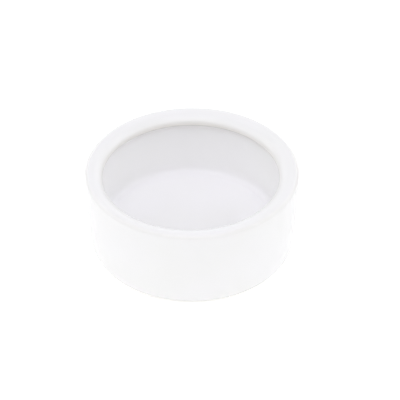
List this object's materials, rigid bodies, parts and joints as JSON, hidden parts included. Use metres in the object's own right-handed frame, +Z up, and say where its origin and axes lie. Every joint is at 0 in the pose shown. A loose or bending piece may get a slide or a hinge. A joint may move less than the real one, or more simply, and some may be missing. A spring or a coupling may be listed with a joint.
{
  "type": "evaporating dish",
  "caption": "Flat-bottomed dish of white glazed porcelain with a thick upright wall, a wide rounded rim turned in over the hollow, a coved floor and a foot ring.",
  "frame": {"origin": "on the axis of the outer wall, in the plane that the foot ring stands on", "axes": "+Z up out of the mouth; the hollow is thrown a little off centre, towards -X and -Y"},
  "size_m": [0.08, 0.08, 0.0327],
  "materials": {
    "bisque_porcelain": "unglazed fired porcelain, fine matt grain",
    "fired_glaze": "smooth clear glaze over white porcelain, glossy"
  },
  "bodies": {
    "root": {"porcelain_body": "bisque_porcelain", "glaze_coat": "fired_glaze", "underside_glaze": "fired_glaze"}
  },
  "joints": []
}
